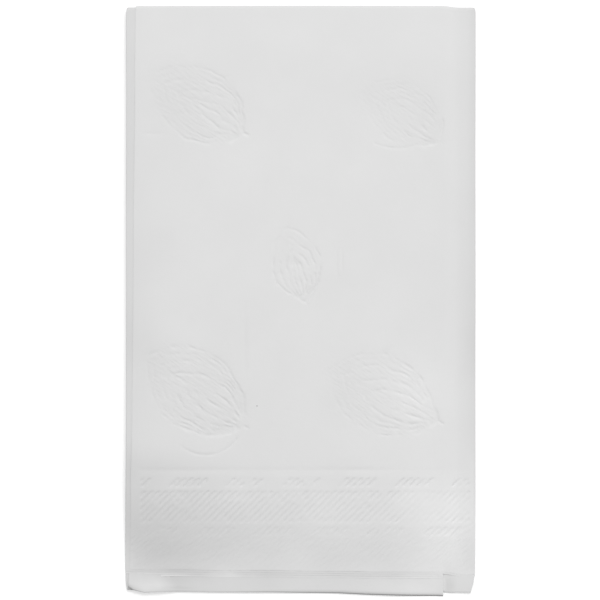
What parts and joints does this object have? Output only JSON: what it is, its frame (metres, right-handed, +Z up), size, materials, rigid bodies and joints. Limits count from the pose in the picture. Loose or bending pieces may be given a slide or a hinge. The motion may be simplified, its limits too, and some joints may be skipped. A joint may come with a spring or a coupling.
{
  "type": "paper napkin",
  "caption": "Flat rectangular paper dinner napkin, folded lengthwise into panels and then in half across, with embossed leaves and a band of twill ribs above its cut end.",
  "frame": {"origin": "centre of the folded napkin's underside, on the surface that it lies on", "axes": "+Z up through the layers, +Y along the length towards the cross fold, +X across the width towards the outer lengthwise fold"},
  "size_m": [0.1142, 0.192, 0.0034],
  "materials": {
    "tissue": "matte, soft, finely embossed"
  },
  "bodies": {
    "root": {"napkin": "tissue"}
  },
  "joints": []
}
